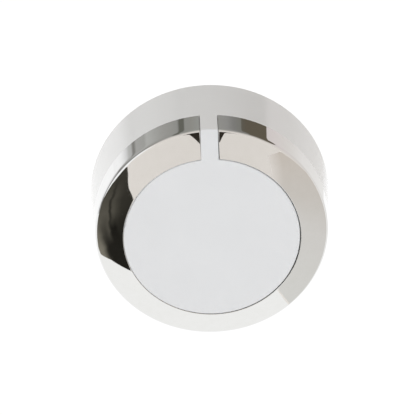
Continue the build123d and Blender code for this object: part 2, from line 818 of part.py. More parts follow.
pieces = {
    "cover": cover,
    "trim_ring": trim_ring,
    "backplate": backplate,
    "cord_bush": cord_bush,
    "mech_housing": mech_housing,
    "mech_lid": mech_lid,
    "axle": axle,
    "pull_arm": pull_arm,
    "ratchet_wheel": ratchet_wheel,
    "cam": cam,
    "pawl": pawl,
    "pawl_pin": pawl_pin,
    "pawl_spring": pawl_spring,
    "return_spring": return_spring,
    "rocker": rocker,
    "rocker_pin": rocker_pin,
    "rocker_spring": rocker_spring,
    "moving_contact": moving_contact,
    "moving_tip": moving_tip,
    "fixed_contact": fixed_contact,
    "fixed_tip": fixed_tip,
    "line_bracket": line_bracket,
    "line_terminal": line_terminal,
    "load_terminal": load_terminal,
    "earth_terminal": earth_terminal,
    "terminal_screws": terminal_screws,
    "housing_screws": housing_screws,
    "lid_screws": lid_screws,
}
for piece_name, piece in pieces.items():
    finish(piece, piece_name)
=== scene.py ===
import json
from math import asin, atan2, cos, degrees, hypot, pi, radians, sin, sqrt

import bmesh
import bpy
from mathutils import Matrix, Vector


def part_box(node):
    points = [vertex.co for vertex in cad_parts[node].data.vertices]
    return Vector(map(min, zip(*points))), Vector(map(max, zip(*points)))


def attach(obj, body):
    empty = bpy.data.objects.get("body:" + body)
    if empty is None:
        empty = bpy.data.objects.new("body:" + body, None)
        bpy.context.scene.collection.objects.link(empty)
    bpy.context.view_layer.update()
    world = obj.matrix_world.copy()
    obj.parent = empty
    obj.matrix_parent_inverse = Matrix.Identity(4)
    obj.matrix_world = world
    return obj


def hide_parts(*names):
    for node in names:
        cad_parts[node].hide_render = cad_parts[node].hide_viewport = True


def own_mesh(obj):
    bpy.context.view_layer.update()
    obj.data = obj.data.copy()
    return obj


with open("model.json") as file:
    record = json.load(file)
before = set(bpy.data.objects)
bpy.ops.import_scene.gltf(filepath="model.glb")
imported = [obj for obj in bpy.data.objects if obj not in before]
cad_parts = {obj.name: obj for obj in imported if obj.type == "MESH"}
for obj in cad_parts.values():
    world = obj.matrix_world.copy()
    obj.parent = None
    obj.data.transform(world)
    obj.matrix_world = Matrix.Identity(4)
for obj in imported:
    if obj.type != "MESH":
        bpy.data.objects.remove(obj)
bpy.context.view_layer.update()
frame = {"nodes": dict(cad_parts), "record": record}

MM = 0.001
scene = bpy.context.scene
nodes = frame["nodes"]


# ------------------------------------------------------------ sizes, millimetres

# These are the driving sizes of the cover and the trim ring in the CAD source.
RIM_RADIUS = 43.0
RIM_Z = -32.45
DISC_RADIUS = 32.5
FACE_Z = -36.1
FACE_CROWN = 0.15
CEILING_RADIUS = 45.25
BAR_WIDTH = 6.3
COVER_GAP = 0.25
RING_THICKNESS = 1.0
SKIRT_TOP_Z = -22.25
SEAT_GAP = 0.1
RING_SEAT = 1.1
FACE_WALL = 2.0
TAB_RADIUS = 36.2
TAB_WIDTH = 6.0
TAB_THICKNESS = 1.0
TAB_COUNT = 4
TAB_FIRST_ANGLE = 45  # degrees from +X
TAB_CATCH_GAP = 0.1  # between a hook and the back of the cover's face
TAB_LEAD_IN = 0.3  # how far the tip of a hook slopes back

# The plating narrows the gaps a little, leaves the inner edge crisp and softens the rim. The
# inner edge sits a little to the right of the disc.
PLATING = 0.05
INNER_SHIFT = 0.17
RIM_ROUND = 1.5
RING_INNER_ROUND = 0.15
RING_GAP = COVER_GAP - PLATING
SEAM_GAP = 0.01  # left between the top of the skirt and the wall
RING_TOP_Z = SKIRT_TOP_Z + SEAT_GAP - SEAM_GAP
RING_INNER_RADIUS = DISC_RADIUS + RING_GAP
SLOT_HALF = BAR_WIDTH / 2 + RING_GAP
WALL_SLOPE = (CEILING_RADIUS - RIM_RADIUS) / -RIM_Z
FACE_SLOPE = (RIM_Z - FACE_Z) / (RIM_RADIUS - DISC_RADIUS)


def wall_radius(z):
    """Radius of the tapered side wall at a height."""
    return CEILING_RADIUS + WALL_SLOPE * z


def slope_z(radius):
    """Height of the straight line under the ring's sloping face."""
    return FACE_Z + (radius - DISC_RADIUS) * FACE_SLOPE


# ------------------------------------------------------------ node helpers

NOISE_LOW, NOISE_HIGH = 0.3, 0.7  # most of the noise lies between these
GRAIN_DEPTH = 0.00002  # metres
MOULDING_RIPPLE_DEPTH = 0.0002
PLASTIC_IOR = 1.5


def new_material(name):
    """Material with one Principled shader, its node tree and that shader."""
    material = bpy.data.materials.new(name)
    material.use_nodes = True
    tree = material.node_tree
    tree.nodes.clear()
    out = tree.nodes.new("ShaderNodeOutputMaterial")
    shader = tree.nodes.new("ShaderNodeBsdfPrincipled")
    tree.links.new(shader.outputs["BSDF"], out.inputs["Surface"])
    return material, tree, shader


def noise(tree, scale, detail=3.0, roughness=0.5, stretch=None):
    """Noise on the piece's own coordinates, in metres; stretch lengthens it along an axis."""
    coordinates = tree.nodes.new("ShaderNodeTexCoord")
    source = coordinates.outputs["Object"]
    if stretch is not None:
        mapping = tree.nodes.new("ShaderNodeMapping")
        mapping.inputs["Scale"].default_value = stretch
        tree.links.new(source, mapping.inputs["Vector"])
        source = mapping.outputs["Vector"]
    texture = tree.nodes.new("ShaderNodeTexNoise")
    texture.inputs["Scale"].default_value = scale
    texture.inputs["Detail"].default_value = detail
    texture.inputs["Roughness"].default_value = roughness
    tree.links.new(source, texture.inputs["Vector"])
    return texture.outputs["Fac"]


def toned(tree, value, dark, light):
    """Colour that noise takes from dark to light."""
    node = tree.nodes.new("ShaderNodeValToRGB")
    tree.links.new(value, node.inputs["Fac"])
    first, last = node.color_ramp.elements
    first.position = NOISE_LOW
    first.color = (*dark, 1.0)
    last.position = NOISE_HIGH
    last.color = (*light, 1.0)
    return node.outputs["Color"]


def spread(tree, value, low, high):
    """Number that noise takes from low to high."""
    node = tree.nodes.new("ShaderNodeMapRange")
    node.inputs["From Min"].default_value = NOISE_LOW
    node.inputs["From Max"].default_value = NOISE_HIGH
    node.inputs["To Min"].default_value = low
    node.inputs["To Max"].default_value = high
    tree.links.new(value, node.inputs["Value"])
    return node.outputs["Result"]


def bump(tree, shader, height, strength, distance=GRAIN_DEPTH):
    """Fine relief on the shader's normal."""
    node = tree.nodes.new("ShaderNodeBump")
    node.inputs["Strength"].default_value = strength
    node.inputs["Distance"].default_value = distance
    tree.links.new(height, node.inputs["Height"])
    tree.links.new(node.outputs["Normal"], shader.inputs["Normal"])


def plastic(name, dark, light, gloss, cloud_scale=60.0, grain=0.05):
    """Moulded plastic: faint clouding of the colour, uneven gloss and a fine moulded grain."""
    material, tree, shader = new_material(name)
    cloud = noise(tree, cloud_scale)
    tree.links.new(toned(tree, cloud, dark, light), shader.inputs["Base Color"])
    tree.links.new(spread(tree, cloud, *gloss), shader.inputs["Roughness"])
    shader.inputs["IOR"].default_value = PLASTIC_IOR
    bump(tree, shader, noise(tree, 2500.0, 2.0), grain)
    return material


SEAT_MARGIN = 0.02  # the painted seat shade starts this far from the disc and the bar


def cover_plastic(name):
    """Glossy white plastic with painted shade: dark grey only in the hidden seat of the trim ring, standing
    in for the shadow in the gaps.
    """
    material = plastic(name, (0.838, 0.845, 0.851), (0.852, 0.859, 0.865), (0.1, 0.14), grain=0.02)
    tree = material.node_tree
    shader = tree.nodes["Principled BSDF"]
    white = shader.inputs["Base Color"].links[0].from_socket
    place = tree.nodes.new("ShaderNodeSeparateXYZ")
    tree.links.new(tree.nodes.new("ShaderNodeTexCoord").outputs["Object"], place.inputs["Vector"])
    flat = tree.nodes.new("ShaderNodeCombineXYZ")
    tree.links.new(place.outputs["X"], flat.inputs["X"])
    tree.links.new(place.outputs["Y"], flat.inputs["Y"])
    radius = tree.nodes.new("ShaderNodeVectorMath")
    radius.operation = "LENGTH"
    tree.links.new(flat.outputs["Vector"], radius.inputs[0])

    def test(operation, value, limit):
        node = tree.nodes.new("ShaderNodeMath")
        node.operation = operation
        tree.links.new(value, node.inputs[0])
        node.inputs[1].default_value = limit
        return node.outputs["Value"]

    def both(first, second):
        node = tree.nodes.new("ShaderNodeMath")
        node.operation = "MULTIPLY"
        tree.links.new(first, node.inputs[0])
        tree.links.new(second, node.inputs[1])
        return node.outputs["Value"]

    side = tree.nodes.new("ShaderNodeMath")
    side.operation = "ABSOLUTE"
    tree.links.new(place.outputs["X"], side.inputs[0])
    off_bar = test("GREATER_THAN", side.outputs["Value"], (BAR_WIDTH / 2 + SEAT_MARGIN) * MM)
    off_disc = test("GREATER_THAN", radius.outputs["Value"], (DISC_RADIUS + SEAT_MARGIN) * MM)
    below_wall = test("LESS_THAN", place.outputs["Z"], SKIRT_TOP_Z * MM)
    # Painted shade: the hidden seat of the ring, off the disc and the bar and below the wall, turns dark grey
    # with faint noise, standing in for the shadow in the gaps beside the ring.
    seat_shade = tree.nodes.new("ShaderNodeMix")
    seat_shade.data_type = "RGBA"
    tree.links.new(both(both(off_bar, off_disc), below_wall), seat_shade.inputs["Factor"])
    tree.links.new(white, seat_shade.inputs["A"])
    seat_shade_tone = toned(tree, noise(tree, 500.0), (0.2, 0.195, 0.18), (0.3, 0.29, 0.27))
    tree.links.new(seat_shade_tone, seat_shade.inputs["B"])
    tree.links.new(seat_shade.outputs["Result"], shader.inputs["Base Color"])
    return material


def metal(name, dark, light, gloss, scale, stretch=None):
    """Bare or plated metal: worn tone, uneven polish and fine drawn or rolled lines."""
    material, tree, shader = new_material(name)
    wear = noise(tree, scale, 6.0, 0.6, stretch)
    tree.links.new(toned(tree, wear, dark, light), shader.inputs["Base Color"])
    tree.links.new(spread(tree, wear, *gloss), shader.inputs["Roughness"])
    shader.inputs["Metallic"].default_value = 1.0
    bump(tree, shader, wear, 0.1)
    return material


def chrome_plate(name):
    """Bright chrome on moulded plastic, with the slow ripple that the moulding leaves in its mirror."""
    material, tree, shader = new_material(name)
    haze = noise(tree, 350.0, 4.0, 0.6)
    colour = toned(tree, haze, (0.83, 0.83, 0.825), (0.85, 0.85, 0.85))
    tree.links.new(colour, shader.inputs["Base Color"])
    tree.links.new(spread(tree, haze, 0.015, 0.035), shader.inputs["Roughness"])
    shader.inputs["Metallic"].default_value = 1.0
    bump(tree, shader, noise(tree, 90.0, 1.0), 0.06, MOULDING_RIPPLE_DEPTH)
    return material


# Moulded pieces: dark and light colour, range of roughness, size of the clouding and depth of grain
PLASTICS = {
    "white_base": ((0.78, 0.78, 0.76), (0.82, 0.82, 0.8), (0.4, 0.5), 60.0, 0.25),
    "white_bush": ((0.8, 0.8, 0.79), (0.84, 0.84, 0.83), (0.25, 0.35), 400.0, 0.05),
    "grey_housing": ((0.3, 0.31, 0.32), (0.36, 0.37, 0.38), (0.45, 0.6), 180.0, 0.4),
    "nylon_drive": ((0.66, 0.64, 0.55), (0.74, 0.72, 0.64), (0.35, 0.5), 300.0, 0.2),
    "dark_cam": ((0.02, 0.02, 0.022), (0.04, 0.04, 0.042), (0.3, 0.45), 300.0, 0.2),
}

# Metal pieces: dark and light colour, range of roughness, size of the wear and its stretch
METALS = {
    "steel_pins": ((0.52, 0.52, 0.53), (0.66, 0.66, 0.67), (0.18, 0.32), 1500.0, (0.05, 1, 1)),
    "spring_steel": ((0.4, 0.41, 0.42), (0.58, 0.58, 0.6), (0.22, 0.38), 2500.0),
    "contact_brass": ((0.68, 0.47, 0.2), (0.83, 0.62, 0.3), (0.22, 0.38), 900.0, (1, 1, 0.06)),
    "silver_tips": ((0.74, 0.73, 0.7), (0.9, 0.89, 0.87), (0.2, 0.4), 2500.0),
    "terminal_brass": ((0.6, 0.42, 0.17), (0.78, 0.58, 0.27), (0.3, 0.45), 1200.0, (1, 0.08, 1)),
    "plated_screws": ((0.62, 0.62, 0.6), (0.78, 0.78, 0.77), (0.2, 0.38), 1800.0),
}

MATERIALS = {
    "white_cover": cover_plastic("white_cover"),
    "chrome_trim": chrome_plate("chrome_trim"),
}
for slot_name, look in PLASTICS.items():
    MATERIALS[slot_name] = plastic(slot_name, *look)
for slot_name, look in METALS.items():
    MATERIALS[slot_name] = metal(slot_name, *look)


def paint(piece, material):
    piece.data.materials.clear()
    piece.data.materials.append(material)


for entry in frame["record"]["subparts"]:
    paint(nodes[entry["node"]], MATERIALS[entry["material_slot"]])


# ------------------------------------------------------------ trim ring

SHARP_ANGLE = radians(32)
SKIRT_STEPS = 8
RIM_STEPS = 14
FACE_STEPS = 40
INNER_STEPS = 10


def arc_centre(start, middle, end):
    """Centre of the circle through three points."""
    (ax, ay), (bx, by), (cx, cy) = start, middle, end
    d = 2 * (ax * (by - cy) + bx * (cy - ay) + cx * (ay - by))
    a2, b2, c2 = ax * ax + ay * ay, bx * bx + by * by, cx * cx + cy * cy
    return (
        (a2 * (by - cy) + b2 * (cy - ay) + c2 * (ay - by)) / d,
        (a2 * (cx - bx) + b2 * (ax - cx) + c2 * (bx - ax)) / d,
    )


def arc_points(centre, radius, from_angle, to_angle, count):
    """Points round an arc, both ends included."""
    step = (to_angle - from_angle) / count
    angles = [from_angle + i * step for i in range(count + 1)]
    return [(centre[0] + radius * cos(a), centre[1] + radius * sin(a)) for a in angles]


def ring_profile():
    """Outer skin of the ring from the top of the skirt to the edge beside the disc, as (radius, z)."""
    rim = (RIM_RADIUS, RIM_Z)
    inner = (DISC_RADIUS, FACE_Z)
    chord = hypot(rim[0] - inner[0], rim[1] - inner[1])
    crown = (
        (rim[0] + inner[0]) / 2 + FACE_CROWN * (rim[1] - inner[1]) / chord,
        (rim[1] + inner[1]) / 2 - FACE_CROWN * (rim[0] - inner[0]) / chord,
    )
    face_end = (RING_INNER_RADIUS, slope_z(RING_INNER_RADIUS))
    centre = arc_centre(rim, crown, face_end)
    face_radius = hypot(rim[0] - centre[0], rim[1] - centre[1])
    # Fillet between the skirt and the face
    skirt_top = (wall_radius(RING_TOP_Z), RING_TOP_Z)
    length = hypot(rim[0] - skirt_top[0], rim[1] - skirt_top[1])
    along = ((rim[0] - skirt_top[0]) / length, (rim[1] - skirt_top[1]) / length)
    inward = (along[1], -along[0])
    base = (skirt_top[0] + RIM_ROUND * inward[0], skirt_top[1] + RIM_ROUND * inward[1])
    to_centre = (base[0] - centre[0], base[1] - centre[1])
    half_b = to_centre[0] * along[0] + to_centre[1] * along[1]
    reach = (face_radius - RIM_ROUND) ** 2 - (to_centre[0] ** 2 + to_centre[1] ** 2) + half_b**2
    travel = -half_b + sqrt(reach)
    rim_centre = (base[0] + travel * along[0], base[1] + travel * along[1])
    rim_start = atan2(-inward[1], -inward[0])
    rim_end = atan2(rim_centre[1] - centre[1], rim_centre[0] - centre[0])
    # Fillet beside the disc
    inner_x = RING_INNER_RADIUS + RING_INNER_ROUND
    drop = sqrt((face_radius - RING_INNER_ROUND) ** 2 - (inner_x - centre[0]) ** 2)
    inner_centre = (inner_x, centre[1] - drop)
    inner_start = atan2(inner_centre[1] - centre[1], inner_centre[0] - centre[0])
    skirt_end = (
        rim_centre[0] - RIM_ROUND * inward[0],
        rim_centre[1] - RIM_ROUND * inward[1],
    )
    points = [
        (
            skirt_top[0] + (skirt_end[0] - skirt_top[0]) * i / SKIRT_STEPS,
            skirt_top[1] + (skirt_end[1] - skirt_top[1]) * i / SKIRT_STEPS,
        )
        for i in range(SKIRT_STEPS)
    ]
    points += arc_points(rim_centre, RIM_ROUND, rim_start, rim_end, RIM_STEPS)
    points += arc_points(centre, face_radius, rim_end, inner_start, FACE_STEPS)[1:]
    points += arc_points(inner_centre, RING_INNER_ROUND, inner_start, -pi, INNER_STEPS)[1:]
    return points


def inner_profile(outer):
    """Hidden skin of the ring, one point for each point of the outer skin."""
    top = (wall_radius(RING_TOP_Z) - RING_THICKNESS, RING_TOP_Z)
    knee = (RIM_RADIUS - RING_THICKNESS, RIM_Z + RING_THICKNESS)
    end = (RING_INNER_RADIUS, slope_z(RING_INNER_RADIUS) + RING_THICKNESS)
    skin = []
    for radius, z in outer:
        if z > knee[1]:
            share = (top[1] - z) / (top[1] - knee[1])
            skin.append((top[0] + (knee[0] - top[0]) * share, z))
        else:
            share = min(1.0, max(0.0, (radius - end[0]) / (knee[0] - end[0])))
            z_between = end[1] + (knee[1] - end[1]) * share
            skin.append((end[0] + (knee[0] - end[0]) * share, z_between))
    return skin


# The two corners of the slot at the rim sink a little, as thin moulded corners do. Sizes in
# millimetres: how far along the rim, how far along the slot, and how deep.
CORNER_SINKS = {-1: (4.7, 5.0, 0.3), 1: (2.6, 4.8, 0.28)}
SINK_RISE = 4.0  # how far up the skirt the sink reaches


def sink(side, from_slot, radius, z):
    """How far a point of the ring's skin is lifted by the sunken corner on its side of the bar."""
    along_rim, along_slot, depth = CORNER_SINKS[side]
    share_x = max(0.0, 1 - from_slot / along_rim)
    share_y = max(0.0, 1 - max(0.0, RIM_RADIUS - radius) / along_slot)
    share_z = max(0.0, 1 - max(0.0, z - RIM_Z) / SINK_RISE)
    return depth * share_x * share_y * share_z


def prism(build, frame_matrix, outline, width):
    """Solid from an outline in local x and z, centred on local y."""
    sides = [
        [build.verts.new(frame_matrix @ Vector((x * MM, y * MM, z * MM))) for x, z in outline]
        for y in (-width / 2, width / 2)
    ]
    build.faces.new(sides[0])
    build.faces.new(sides[1][::-1])
    for i in range(len(outline)):
        j = (i + 1) % len(outline)
        build.faces.new((sides[0][j], sides[0][i], sides[1][i], sides[1][j]))


def snap_tabs(build):
    """Hooked tabs behind the ring that go through the cover."""
    foot = slope_z(TAB_RADIUS) + RING_THICKNESS / 2
    hook = slope_z(TAB_RADIUS) + RING_SEAT + FACE_WALL + TAB_CATCH_GAP + FACE_SLOPE
    top = hook + TAB_THICKNESS
    half = TAB_THICKNESS / 2
    tip = -3 * half
    outline = [(half, foot), (half, top), (tip, top - TAB_LEAD_IN), (tip, hook), (-half, hook), (-half, foot)]
    for index in range(TAB_COUNT):
        turn = Matrix.Rotation(radians(TAB_FIRST_ANGLE + index * 360 / TAB_COUNT), 4, "Z")
        prism(build, turn @ Matrix.Translation((TAB_RADIUS * MM, 0, 0)), outline, TAB_WIDTH)


# Sections of the ring: close together beside the slot and wider apart round to the far side
NEAR_STEP = 0.25
NEAR_COUNT = 29
FAR_COUNT = 200
HALF_ROUND = pi * RIM_RADIUS
CUT_ROUND = 0.12
CUT_ANGLES = (radians(90), radians(60), radians(30))


def ring_section(build, skins, side, from_slot, inset, edge):
    """One closed section, from_slot millimetres round from the slot, whose half width is edge."""
    share = from_slot / HALF_ROUND
    made = []
    for skin, sign in zip(skins, (1, -1)):
        row = []
        for index, (radius, z) in enumerate(skin):
            lift = sink(side, from_slot, radius, z) if sign == 1 else 0.0
            before = skin[max(0, index - 1)]
            after = skin[min(len(skin) - 1, index + 1)]
            length = hypot(after[0] - before[0], after[1] - before[1]) or 1.0
            normal = (-(after[1] - before[1]) / length * sign, (after[0] - before[0]) / length * sign)
            r = radius - inset * normal[0]
            h = z - inset * normal[1] + lift
            start = asin(edge / r)
            angle = start + (pi - start) * share
            inward = (RIM_RADIUS - r) / (RIM_RADIUS - RING_INNER_RADIUS)
            x = side * r * sin(angle) + INNER_SHIFT * min(1.0, max(0.0, inward))
            row.append(build.verts.new((x * MM, -r * cos(angle) * MM, h * MM)))
        made.append(row)
    return made


def ring_mesh():
    """C-shaped ring of one closed skin, open at the bar, with the snap tabs behind it."""
    outer = ring_profile()
    skins = (outer, inner_profile(outer))
    offsets = [NEAR_STEP * i for i in range(NEAR_COUNT)]
    near_end = offsets[-1]
    offsets += [near_end + (HALF_ROUND - near_end) * i / FAR_COUNT for i in range(1, FAR_COUNT + 1)]
    build = bmesh.new()
    halves = []
    for side in (-1, 1):
        half = []
        for a in CUT_ANGLES:
            edge = SLOT_HALF + CUT_ROUND * (1 - sin(a))
            half.append(ring_section(build, skins, side, 0.0, CUT_ROUND * (1 - cos(a)), edge))
        # The last section of the left half is the far side, and closes the right half too
        for from_slot in offsets if side == -1 else offsets[:-1]:
            half.append(ring_section(build, skins, side, from_slot, 0.0, SLOT_HALF + CUT_ROUND))
        halves.append(half)
    chain = halves[0] + halves[1][::-1]
    last = len(outer) - 1
    for a, b in zip(chain, chain[1:]):
        for i in range(last):
            build.faces.new((a[0][i], a[0][i + 1], b[0][i + 1], b[0][i]))
            build.faces.new((a[1][i], b[1][i], b[1][i + 1], a[1][i + 1]))
        build.faces.new((a[0][0], b[0][0], b[1][0], a[1][0]))
        build.faces.new((a[0][last], a[1][last], b[1][last], b[0][last]))
    for end, flip in ((chain[0], False), (chain[-1], True)):
        for i in range(last):
            face = (end[0][i], end[1][i], end[1][i + 1], end[0][i + 1])
            build.faces.new(face[::-1] if flip else face)
    snap_tabs(build)
    return finished(build, "chrome_ring")


def finished(build, name):
    """Mesh from the built faces, smooth but for its sharp edges."""
    bmesh.ops.recalc_face_normals(build, faces=build.faces)
    mesh = bpy.data.meshes.new(name)
    build.to_mesh(mesh)
    build.free()
    mesh.shade_smooth()
    mesh.set_sharp_from_angle(angle=SHARP_ANGLE)
    return mesh


def add_piece(name, mesh, body, slot, replaced):
    """Detailed piece in place of a CAD node, on the node's body and in its material slot."""
    piece = bpy.data.objects.new(name, mesh)
    scene.collection.objects.link(piece)
    paint(piece, MATERIALS[slot])
    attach(piece, body)
    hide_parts(replaced)
    return piece


add_piece("chrome_ring", ring_mesh(), "switch_body", "chrome_trim", "trim_ring")


# ------------------------------------------------------------ return spring

SPRING_WIRE = 0.5
SPRING_TURNS = 7
TURN_STEPS = 20
WIRE_STEPS = 8


def coil_mesh(name, low, high):
    """Even helix of round wire that fills a box."""
    centre_x, centre_y = (low[0] + high[0]) / 2, (low[1] + high[1]) / 2
    wire = SPRING_WIRE * MM / 2
    radius = (high[0] - low[0]) / 2 - wire
    bottom, top = low[2] + wire, high[2] - wire
    steps = SPRING_TURNS * TURN_STEPS
    around = [2 * pi * k / WIRE_STEPS for k in range(WIRE_STEPS)]
    build = bmesh.new()
    rings = []
    for i in range(steps + 1):
        turn = 2 * pi * i / TURN_STEPS
        outward = Vector((cos(turn), sin(turn), 0))
        middle = Vector((centre_x, centre_y, bottom + (top - bottom) * i / steps)) + radius * outward
        section = [middle + wire * (cos(a) * outward + Vector((0, 0, sin(a)))) for a in around]
        rings.append([build.verts.new(point) for point in section])
    for a, b in zip(rings, rings[1:]):
        for k in range(WIRE_STEPS):
            build.faces.new((a[k], b[k], b[(k + 1) % WIRE_STEPS], a[(k + 1) % WIRE_STEPS]))
    build.faces.new(rings[0])
    build.faces.new(rings[-1][::-1])
    return finished(build, name)


spring_low, spring_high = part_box("return_spring")
coil = coil_mesh("return_coil", spring_low, spring_high)
return_coil = add_piece("return_coil", coil, "switch_body", "spring_steel", "return_spring")
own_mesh(return_coil)


# ------------------------------------------------------------ stage

CENTRE = Vector((0, 0, RIM_Z * MM))
ROOM_HEIGHT = 2.6
# Cards stand at three distances, so that one hides another where they overlap
FRONT_CARD, MIDDLE_CARD, BACK_CARD = 2.1, 2.2, 2.3


def direction(azimuth, elevation):
    """Unit vector; azimuth 0 is +Y and 90 is +X, elevation above the horizon, in degrees."""
    a, e = radians(azimuth), radians(elevation)
    return Vector((sin(a) * cos(e), cos(a) * cos(e), sin(e)))


def glow(name):
    """Emission that takes its colour from the mesh."""
    material = bpy.data.materials.new(name)
    material.use_nodes = True
    tree = material.node_tree
    tree.nodes.clear()
    out = tree.nodes.new("ShaderNodeOutputMaterial")
    emission = tree.nodes.new("ShaderNodeEmission")
    colour = tree.nodes.new("ShaderNodeVertexColor")
    colour.layer_name = "shade"
    tree.links.new(colour.outputs["Color"], emission.inputs["Color"])
    tree.links.new(emission.outputs["Emission"], out.inputs["Surface"])
    return material


def card(name, place, shade, columns, rows, distance, seen_by_diffuse=False):
    """Curved card round the object. place(u, v) gives (azimuth, elevation), shade(u, v) its colour."""
    build = bmesh.new()
    layer = build.loops.layers.float_color.new("shade")
    grid = []
    where = {}
    for i in range(columns + 1):
        line = []
        for j in range(rows + 1):
            u, v = i / columns, j / rows
            vert = build.verts.new(CENTRE + distance * direction(*place(u, v)))
            where[vert] = (u, v)
            line.append(vert)
        grid.append(line)
    for i in range(columns):
        for j in range(rows):
            face = build.faces.new((grid[i][j], grid[i + 1][j], grid[i + 1][j + 1], grid[i][j + 1]))
            for loop in face.loops:
                loop[layer] = (*shade(*where[loop.vert]), 1.0)
    mesh = bpy.data.meshes.new(name)
    build.to_mesh(mesh)
    build.free()
    piece = bpy.data.objects.new(name, mesh)
    scene.collection.objects.link(piece)
    paint(piece, glow(name))
    piece.visible_camera = False
    piece.visible_diffuse = seen_by_diffuse
    piece.visible_shadow = seen_by_diffuse


def between(low, high, share):
    return low + (high - low) * share


def mixed(first, second, share):
    """Colour between two, share running from 0 to 1 and held there outside."""
    share = min(1.0, max(0.0, share))
    return tuple(between(a, b, share) for a, b in zip(first, second))


def stepped(stops, value):
    """Colour along a list of (position, colour), straight between neighbours."""
    if value <= stops[0][0]:
        return stops[0][1]
    for (p0, c0), (p1, c1) in zip(stops, stops[1:]):
        if value <= p1:
            return mixed(c0, c1, (value - p0) / max(1e-6, p1 - p0))
    return stops[-1][1]


def graded(stops, value):
    """Number along a list of (position, number), straight between neighbours."""
    return stepped([(place, (number,)) for place, number in stops], value)[0]


def ripple(value, seed):
    """Uneven wave, for edges that aren't ruled straight."""
    return sin(value * 11 + seed) * 0.6 + sin(value * 23 + 2 * seed) * 0.3 + sin(value * 47 + 3 * seed) * 0.15


# Tone of the room's floor, to which several cards fade
FLOOR_TONE = (0.8, 0.755, 0.71)

# Tall dark flag on the left, seen in the left of the ring and in its inner edge on the right.
# Its two sides as (elevation, azimuth) from its foot up, and its foot as (azimuth, elevation).
FLAG_LEFT = [(-58.3, -93), (-56.4, -88.5), (-54.6, -85), (-53, -82.5), (-48, -81.5), (-26, -83)]
FLAG_RIGHT = [(-45, -31), (-38, -32), (-36.8, -36), (-35.4, -41.5), (-33.8, -44.5), (-32, -50)]
FLAG_FOOT = [(-93, -58.4), (-87, -59), (-79, -58.9), (-75, -59), (-71, -59.5), (-66, -59.6)]
FLAG_TOP = -26

# Grey of the flag by height over a line that rises to the right, at four places from left to right
FLAG_GREYS = {
    -83: [(-4, 0.036), (-1.5, 0.042), (1, 0.042), (3, 0.05)],
    -63: [
        (-8, 0.03),
        (-5, 0.034),
        (-3, 0.058),
        (-1.6, 0.082),
        (-0.7, 0.08),
        (-0.1, 0.03),
        (0.4, 0.03),
        (1.1, 0.095),
    ],
    -54: [
        (-6, 0.02),
        (-4, 0.024),
        (-2.5, 0.011),
        (-0.4, 0.014),
        (0.8, 0.075),
        (2.5, 0.05),
        (4, 0.066),
        (6.4, 0.16),
    ],
    -47: [(-8, 0.015), (3, 0.016), (4, 0.03), (5, 0.1), (6.4, 0.19), (8, 0.22)],
}
FLAG_TINT = (1.1, 1.02, 0.82)
FLAG_LINE = (-73.5, -52.2)  # a point of that line as (azimuth, elevation)
FLAG_LINE_RISE = 0.38


def flag_place(u, v):
    elevation = between(FLAG_FOOT[-1][1], FLAG_TOP, v)
    azimuth = between(graded(FLAG_LEFT, elevation), graded(FLAG_RIGHT, elevation), u)
    return azimuth, between(graded(FLAG_FOOT, azimuth), FLAG_TOP, v)


def flag_shade(u, v):
    """Brown and lighter over a rising line, dark under it, with one dark streak along it."""
    azimuth, elevation = flag_place(u, v)
    height = elevation - FLAG_LINE[1] - FLAG_LINE_RISE * (azimuth - FLAG_LINE[0])
    height += 0.5 * ripple(azimuth * 0.045, 0.4)
    columns = [(place, graded(greys, height)) for place, greys in FLAG_GREYS.items()]
    grey = graded(columns, azimuth)
    return tuple(grey * tint for tint in FLAG_TINT)


# Grey card on the right, greyer at its right end
RIGHT_AZIMUTHS = (23.5, 104)
RIGHT_LOW, RIGHT_HIGH = -66, -10
RIGHT_FADE = 5  # degrees over its foot in which it fades into the floor
RIGHT_TONES = [
    (0.0, (0.745, 0.74, 0.71)),
    (0.35, (0.72, 0.7, 0.67)),
    (0.55, (0.665, 0.63, 0.585)),
    (1.0, (0.65, 0.59, 0.53)),
]


def right_place(u, v):
    return between(*RIGHT_AZIMUTHS, u), between(RIGHT_LOW, RIGHT_HIGH, v)


def right_shade(u, v):
    return mixed(FLOOR_TONE, stepped(RIGHT_TONES, u), v * (RIGHT_HIGH - RIGHT_LOW) / RIGHT_FADE)


# White card beyond the object
def far_place(u, v):
    return between(-75, 23, u), between(-46, -8, v)


def far_shade(u, v):
    return (0.99, 0.99, 0.975)


# Dark ceiling of the room in front and above, seen in the skirt: its tone by azimuth
OVERHEAD_TONES = [
    (40, (0.88, 0.87, 0.85)),
    (83, (0.84, 0.82, 0.8)),
    (101, (0.76, 0.73, 0.7)),
    (119, (0.735, 0.68, 0.665)),
    (125.2, (0.71, 0.66, 0.65)),
    (125.7, (0.125, 0.107, 0.078)),
    (145, (0.125, 0.107, 0.08)),
    (149.6, (0.127, 0.117, 0.094)),
    (150.4, (0.215, 0.213, 0.19)),
    (157, (0.236, 0.232, 0.22)),
    (163, (0.3, 0.297, 0.285)),
    (169, (0.321, 0.317, 0.3)),
    (189, (0.327, 0.33, 0.31)),
    (195, (0.303, 0.3, 0.275)),
    (200.5, (0.3, 0.3, 0.28)),
    (201.5, (0.14, 0.14, 0.12)),
    (205.5, (0.14, 0.14, 0.12)),
    (207, (0.31, 0.31, 0.295)),
    (210, (0.33, 0.33, 0.31)),
    (219, (0.36, 0.355, 0.335)),
    (228, (0.41, 0.41, 0.39)),
    (237, (0.48, 0.48, 0.46)),
    (240, (0.39, 0.39, 0.37)),
    (249, (0.42, 0.415, 0.4)),
    (251.5, (0.24, 0.235, 0.22)),
    (253, (0.27, 0.265, 0.25)),
    (255, (0.5, 0.5, 0.49)),
    (258, (0.52, 0.52, 0.51)),
    (261, (0.72, 0.72, 0.72)),
    (264, (0.84, 0.84, 0.84)),
    (268, (0.96, 0.96, 0.96)),
    (272, (1.0, 1.0, 1.0)),
    (285, (1.0, 1.0, 1.0)),
]
